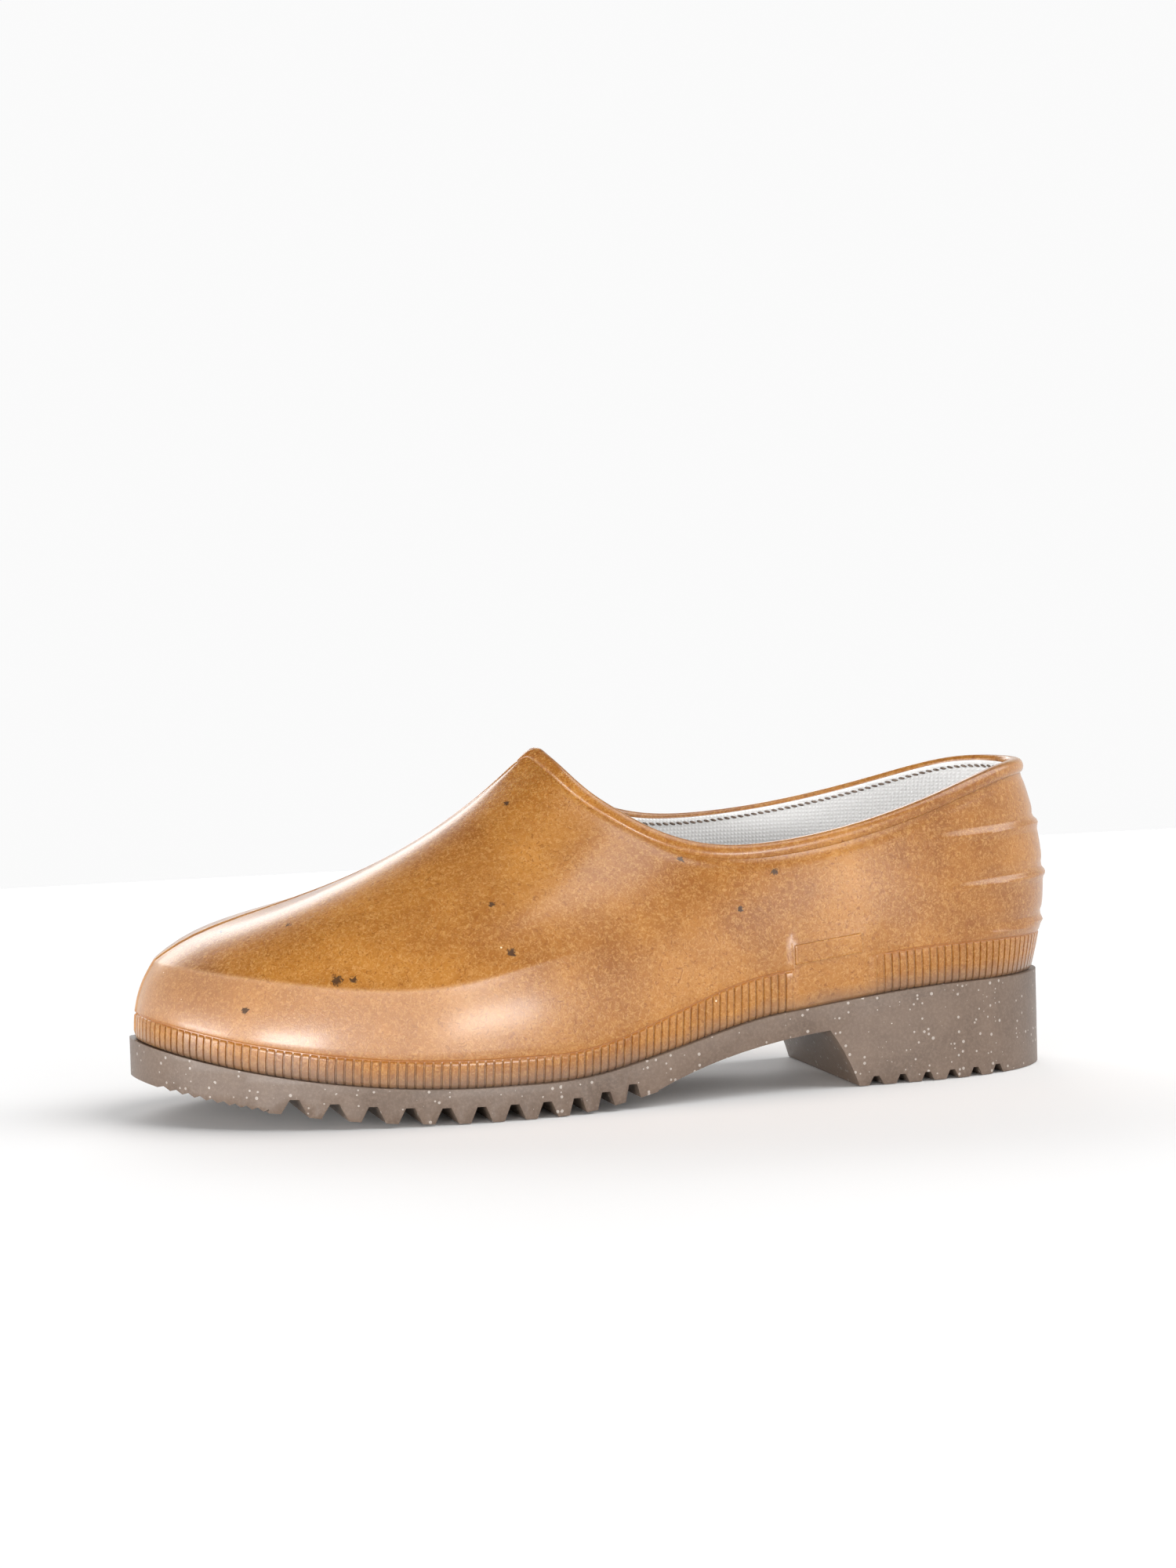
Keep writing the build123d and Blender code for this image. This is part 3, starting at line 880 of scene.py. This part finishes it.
# %% Amber clouds and fibres
AMBER = (0.40, 0.165, 0.025)
AMBER_DEEP, AMBER_PALE = (0.23, 0.075, 0.006), (0.52, 0.28, 0.09)
# the pink on the next line is a painted reflection for the upright wall of the toe
GREY_BROWN, WALL_REFLECTION_PINK = (0.175, 0.112, 0.078), (0.60, 0.38, 0.255)
SPECK_BROWN = (0.022, 0.010, 0.006)
# Charred crumbs in the rubber: place and size
SPECKS = [
    ((-31, -6, 90), 1.3), ((-43.5, -35, 62), 1.2), ((-40.5, -45.5, 48.5), 1.7), ((-91.5, -38.5, 42.5), 2.2),
    ((-87, -40.5, 43), 1.5), ((16.5, -30.5, 72), 1.2), ((45, -34, 67), 1.3), ((33, -36.5, 56.5), 1.2),
    ((-117.5, -30.5, 34.5), 1.4), ((-119, 1, 55.5), 1.5), ((-101.5, -16, 58), 1.5),
]
amber, tree, shader, place = material("amber_rubber", 0.40, 0.45)
clouds = node(tree, "ShaderNodeTexNoise", Vector=place, Scale=26.0, Detail=4.0, Roughness=0.6).outputs["Fac"]
tone = blend(tree, ramp(tree, clouds, (0.35, 0.0), (0.68, 1.0)), AMBER_DEEP, AMBER)
fuzz = node(tree, "ShaderNodeTexNoise", Vector=place, Scale=900.0, Detail=3.0, Roughness=0.7, Distortion=1.2)
tone = blend(tree, ramp(tree, fuzz.outputs["Fac"], (0.46, 0.0), (0.66, 0.6)), tone, AMBER_PALE)
fibre = node(tree, "ShaderNodeTexNoise", Vector=place, Scale=420.0, Detail=2.0, Roughness=0.5,
             Distortion=3.0)
tone = blend(tree, ramp(tree, fibre.outputs["Fac"], (0.32, 0.85), (0.43, 0.0)), tone, AMBER_DEEP)
lift = node(tree, "ShaderNodeAttribute")
lift.attribute_name = "lift"
wave = node(tree, "ShaderNodeMath", "MULTIPLY_ADD", i0=clouds, i1=9.0, i2=lift.outputs["Fac"])
low = node(tree, "ShaderNodeMapRange", Value=wave.outputs[0], From_Min=3.6, From_Max=10.4,
           To_Min=1.0, To_Max=0.0)
tone = blend(tree, low.outputs[0], tone, GREY_BROWN)

# %% [markdown]
# The skin's own masks add painted shade in the grooves and along the band's top, a painted highlight on
# the crease and the mould's ridge, and a painted pinkish reflection on the upright wall of the toe. Then
# come the flecks, and the charred crumbs, whose edges are torn a little by the fibres.

# %% Painted shade, highlight and reflection, flecks and crumbs
# painted shade in the grooves and along the band's top, a painted highlight on the crease and the ridge, a
# painted reflection on the upright wall of the toe
for name, strength, shade in (("gap", 0.16, (0.10, 0.05, 0.022)), ("fold", 0.16, (0.75, 0.55, 0.36)),
                              ("wall", 0.26, WALL_REFLECTION_PINK), ("band_top_shade", 0.75, (0.36, 0.13, 0.025))):
    mark = node(tree, "ShaderNodeAttribute")
    mark.attribute_name = name
    share = node(tree, "ShaderNodeMath", "MULTIPLY", i0=mark.outputs["Fac"], i1=strength)
    tone = blend(tree, share.outputs[0], tone, shade)
tone = blend(tree, fleck_mask(tree, place, 55.0, 0.08, 0.96), tone, (0.06, 0.04, 0.03))
for spot, size in SPECKS:
    gap = node(tree, "ShaderNodeVectorMath", "DISTANCE", i0=place, i1=[v * MM for v in spot])
    torn = node(tree, "ShaderNodeMath", "MULTIPLY_ADD", i0=fibre.outputs["Fac"], i1=2 * size * MM,
                i2=gap.outputs["Value"])
    inside = node(tree, "ShaderNodeMapRange", Value=torn.outputs[0], From_Min=size * 1.6 * MM,
                  From_Max=size * 1.9 * MM, To_Min=0.85, To_Max=0.0)
    tone = blend(tree, inside.outputs[0], tone, SPECK_BROWN)
tone = blend(tree, fleck_mask(tree, place, 300.0, 0.12, 0.95), tone, (0.80, 0.64, 0.45))

# %% Gloss of the amber
tree.links.new(tone, shader.inputs["Base Color"])
shader.inputs["Coat Weight"].default_value = 0.45
shader.inputs["Coat Roughness"].default_value = 0.2
shader.inputs["Subsurface Weight"].default_value = 0.15
shader.inputs["Subsurface Scale"].default_value = 0.004
shader.inputs["Subsurface Radius"].default_value = (1.0, 0.45, 0.12)
gloss = node(tree, "ShaderNodeMapRange", Value=fuzz.outputs["Fac"], To_Min=0.24, To_Max=0.40)
tree.links.new(gloss.outputs[0], shader.inputs["Roughness"])
bump(tree, shader, fuzz.outputs["Fac"], 0.35, 0.0002)
finish_piece(upper, amber, "upper_shell", angle=35)
finish_piece(plate, amber, "upper_shell", angle=35)

# %% [markdown]
# ### Sole rubber
# Satin grey-brown rubber, a little cloudy, with pale flecks.

# %% Sole rubber
sole, tree, shader, place = material("sole_rubber", 0.42)
clouds = node(tree, "ShaderNodeTexNoise", Vector=place, Scale=40.0, Detail=5.0, Roughness=0.65)
tone = ramp(tree, clouds.outputs["Fac"], (0.35, (0.105, 0.070, 0.049)), (0.65, (0.155, 0.107, 0.077)))
grain = node(tree, "ShaderNodeTexNoise", Vector=place, Scale=1100.0, Detail=3.0, Roughness=0.7)
grain = grain.outputs["Fac"]
tone = blend(tree, ramp(tree, grain, (0.45, 0.0), (0.75, 0.5)), tone, (0.235, 0.17, 0.13))
tone = blend(tree, fleck_mask(tree, place, 650.0, 0.34, 0.60), tone, (0.36, 0.31, 0.27))
tone = blend(tree, fleck_mask(tree, place, 380.0, 0.09, 0.93), tone, (0.66, 0.62, 0.57))
tree.links.new(tone, shader.inputs["Base Color"])
bump(tree, shader, grain, 0.22, 0.0002)
finish_piece(outsole, sole, "outsole", angle=30)

# %% [markdown]
# ### Knit, cloth, thread, foam and board
# The knit is rows of small loops: two crossed waves give its rows and columns, and fine noise gives
# its fuzz. The same group serves the footbed's cloth with a finer pitch.

# %% Knit group
knit_group = bpy.data.node_groups.new("knit_loops", "ShaderNodeTree")
for name, kind, way in (("Place", "NodeSocketVector", "INPUT"), ("Scale", "NodeSocketFloat", "INPUT"),
                        ("Height", "NodeSocketFloat", "OUTPUT"), ("Fuzz", "NodeSocketFloat", "OUTPUT")):
    knit_group.interface.new_socket(name, in_out=way, socket_type=kind)
enter = knit_group.nodes.new("NodeGroupInput")
leave = knit_group.nodes.new("NodeGroupOutput")
waves = []
for direction in ("Z", "X"):
    wave = node(knit_group, "ShaderNodeTexWave", Vector=enter.outputs["Place"],
                Scale=enter.outputs["Scale"], Distortion=1.5, Detail=2.0)
    wave.bands_direction = direction
    waves.append(wave.outputs["Fac"])
loops = node(knit_group, "ShaderNodeMath", "MULTIPLY", i0=waves[0], i1=waves[1])
hair = node(knit_group, "ShaderNodeTexNoise", Vector=enter.outputs["Place"], Scale=1300.0, Detail=3.0)
knit_group.links.new(loops.outputs[0], leave.inputs["Height"])
knit_group.links.new(hair.outputs["Fac"], leave.inputs["Fuzz"])
print("knit group", len(knit_group.nodes), "nodes")


# %% Cloth and thread
def fabric(name, scale, dark, light, depth):
    """Knitted or brushed cloth in two tones."""
    made, tree, shader, place = material(name, 0.9, 0.2)
    loops = tree.nodes.new("ShaderNodeGroup")
    loops.node_tree = knit_group
    tree.links.new(place, loops.inputs["Place"])
    loops.inputs["Scale"].default_value = scale
    tone = ramp(tree, loops.outputs["Height"], (0.0, dark), (0.55, light))
    tone = blend(tree, ramp(tree, loops.outputs["Fuzz"], (0.35, 0.5), (0.6, 0.0)), tone, dark)
    tree.links.new(tone, shader.inputs["Base Color"])
    shader.inputs["Sheen Weight"].default_value = 0.3
    bump(tree, shader, loops.outputs["Height"], 0.6, depth)
    return made


def thread(name, dark, light):
    """Finely mottled matt finish, for thread, foam and board."""
    made, tree, shader, place = material(name, 0.75, 0.2)
    twist = node(tree, "ShaderNodeTexNoise", Vector=place, Scale=1500.0, Detail=2.0).outputs["Fac"]
    tree.links.new(ramp(tree, twist, (0.35, dark), (0.65, light)), shader.inputs["Base Color"])
    bump(tree, shader, twist, 0.5, 0.0002)
    return made


# %% [markdown]
# The last step gives each soft piece its finish. The insole board keeps its CAD shape, because it is
# a flat board that nobody sees, and only its material is changed.

# %% Soft pieces' finishes
knit_cloth = fabric("knit_lining", 260.0, (0.82, 0.81, 0.80), (0.95, 0.945, 0.94), 0.0004)
bed_cloth = fabric("footbed_cloth", 420.0, (0.50, 0.49, 0.475), (0.60, 0.59, 0.57), 0.0001)
dark_thread = thread("overlock_thread", (0.09, 0.065, 0.05), (0.26, 0.20, 0.16))
foam_material = thread("latex_foam", (0.48, 0.47, 0.44), (0.66, 0.65, 0.62))
board_material = thread("fibre_board", (0.40, 0.33, 0.25), (0.58, 0.50, 0.39))
finish_piece(lining, knit_cloth, "lining_sock", angle=60)
finish_piece(tape, knit_cloth, "lining_back_seam", angle=60)
finish_piece(overlock, dark_thread, "collar_stitching", angle=60)
finish_piece(strobel, dark_thread, "strobel_stitching", angle=60)
finish_piece(foam, foam_material, "footbed", angle=50)
finish_piece(cover, bed_cloth, "footbed_cover", angle=50)
board = frame["nodes"]["insole_board"]
board.data.materials.clear()
board.data.materials.append(board_material)
print("insole_board", board_material.name)
